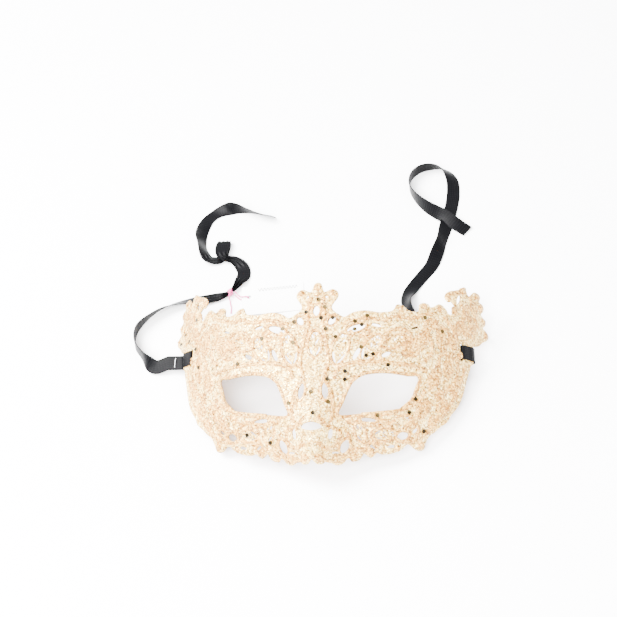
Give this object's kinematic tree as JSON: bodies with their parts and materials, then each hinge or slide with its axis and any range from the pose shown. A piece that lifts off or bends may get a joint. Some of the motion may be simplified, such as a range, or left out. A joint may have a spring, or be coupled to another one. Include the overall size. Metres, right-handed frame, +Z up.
{
  "type": "masquerade mask",
  "caption": "Curved lace-pattern half mask with eye holes, sequins, satin ribbon ties and a blank swing tag, lying face up.",
  "frame": {"origin": "on the table under the middle of the mask's own box, without its ribbons and tag", "axes": "+X towards the right ribbon, +Y from the nose towards the crest, +Z up off the table"},
  "size_m": [0.227, 0.2644, 0.0592],
  "materials": {
    "glitter_lace": "champagne glitter on soft moulded plastic",
    "sequin_foil": "dark gold foil",
    "black_satin": "woven satin",
    "staple_wire": "drawn wire",
    "pink_cotton": "twisted thread",
    "white_card": "coated card"
  },
  "bodies": {
    "mask": {"mask_shell": "glitter_lace", "sequins": "sequin_foil", "left_ribbon_loop": "black_satin", "left_staple": "staple_wire", "right_ribbon_loop": "black_satin", "right_staple": "staple_wire"},
    "left_tie": {"left_ribbon": "black_satin", "left_ribbon_knot": "black_satin", "left_ribbon_tail": "black_satin", "thread_tie": "pink_cotton"},
    "tag": {"tag_card": "white_card", "tag_thread": "pink_cotton"},
    "right_tie": {"right_ribbon": "black_satin"}
  },
  "joints": [
    {"name": "left_tie_swing", "type": "hinge", "parent": "mask", "child": "left_tie", "pos_m": [-0.102, 0.0245, 0.0053], "axis": [0, 0, 1], "range_deg": [-6, 35]},
    {"name": "tag_swing", "type": "hinge", "parent": "left_tie", "child": "tag", "pos_m": [-0.07, 0.086, 0.0024], "axis": [0, 0, 1], "range_deg": [-40, 0]},
    {"name": "right_tie_swing", "type": "hinge", "parent": "mask", "child": "right_tie", "pos_m": [0.0697, 0.0199, 0.0116], "axis": [0, 0, 1], "range_deg": [-12, 20]}
  ]
}
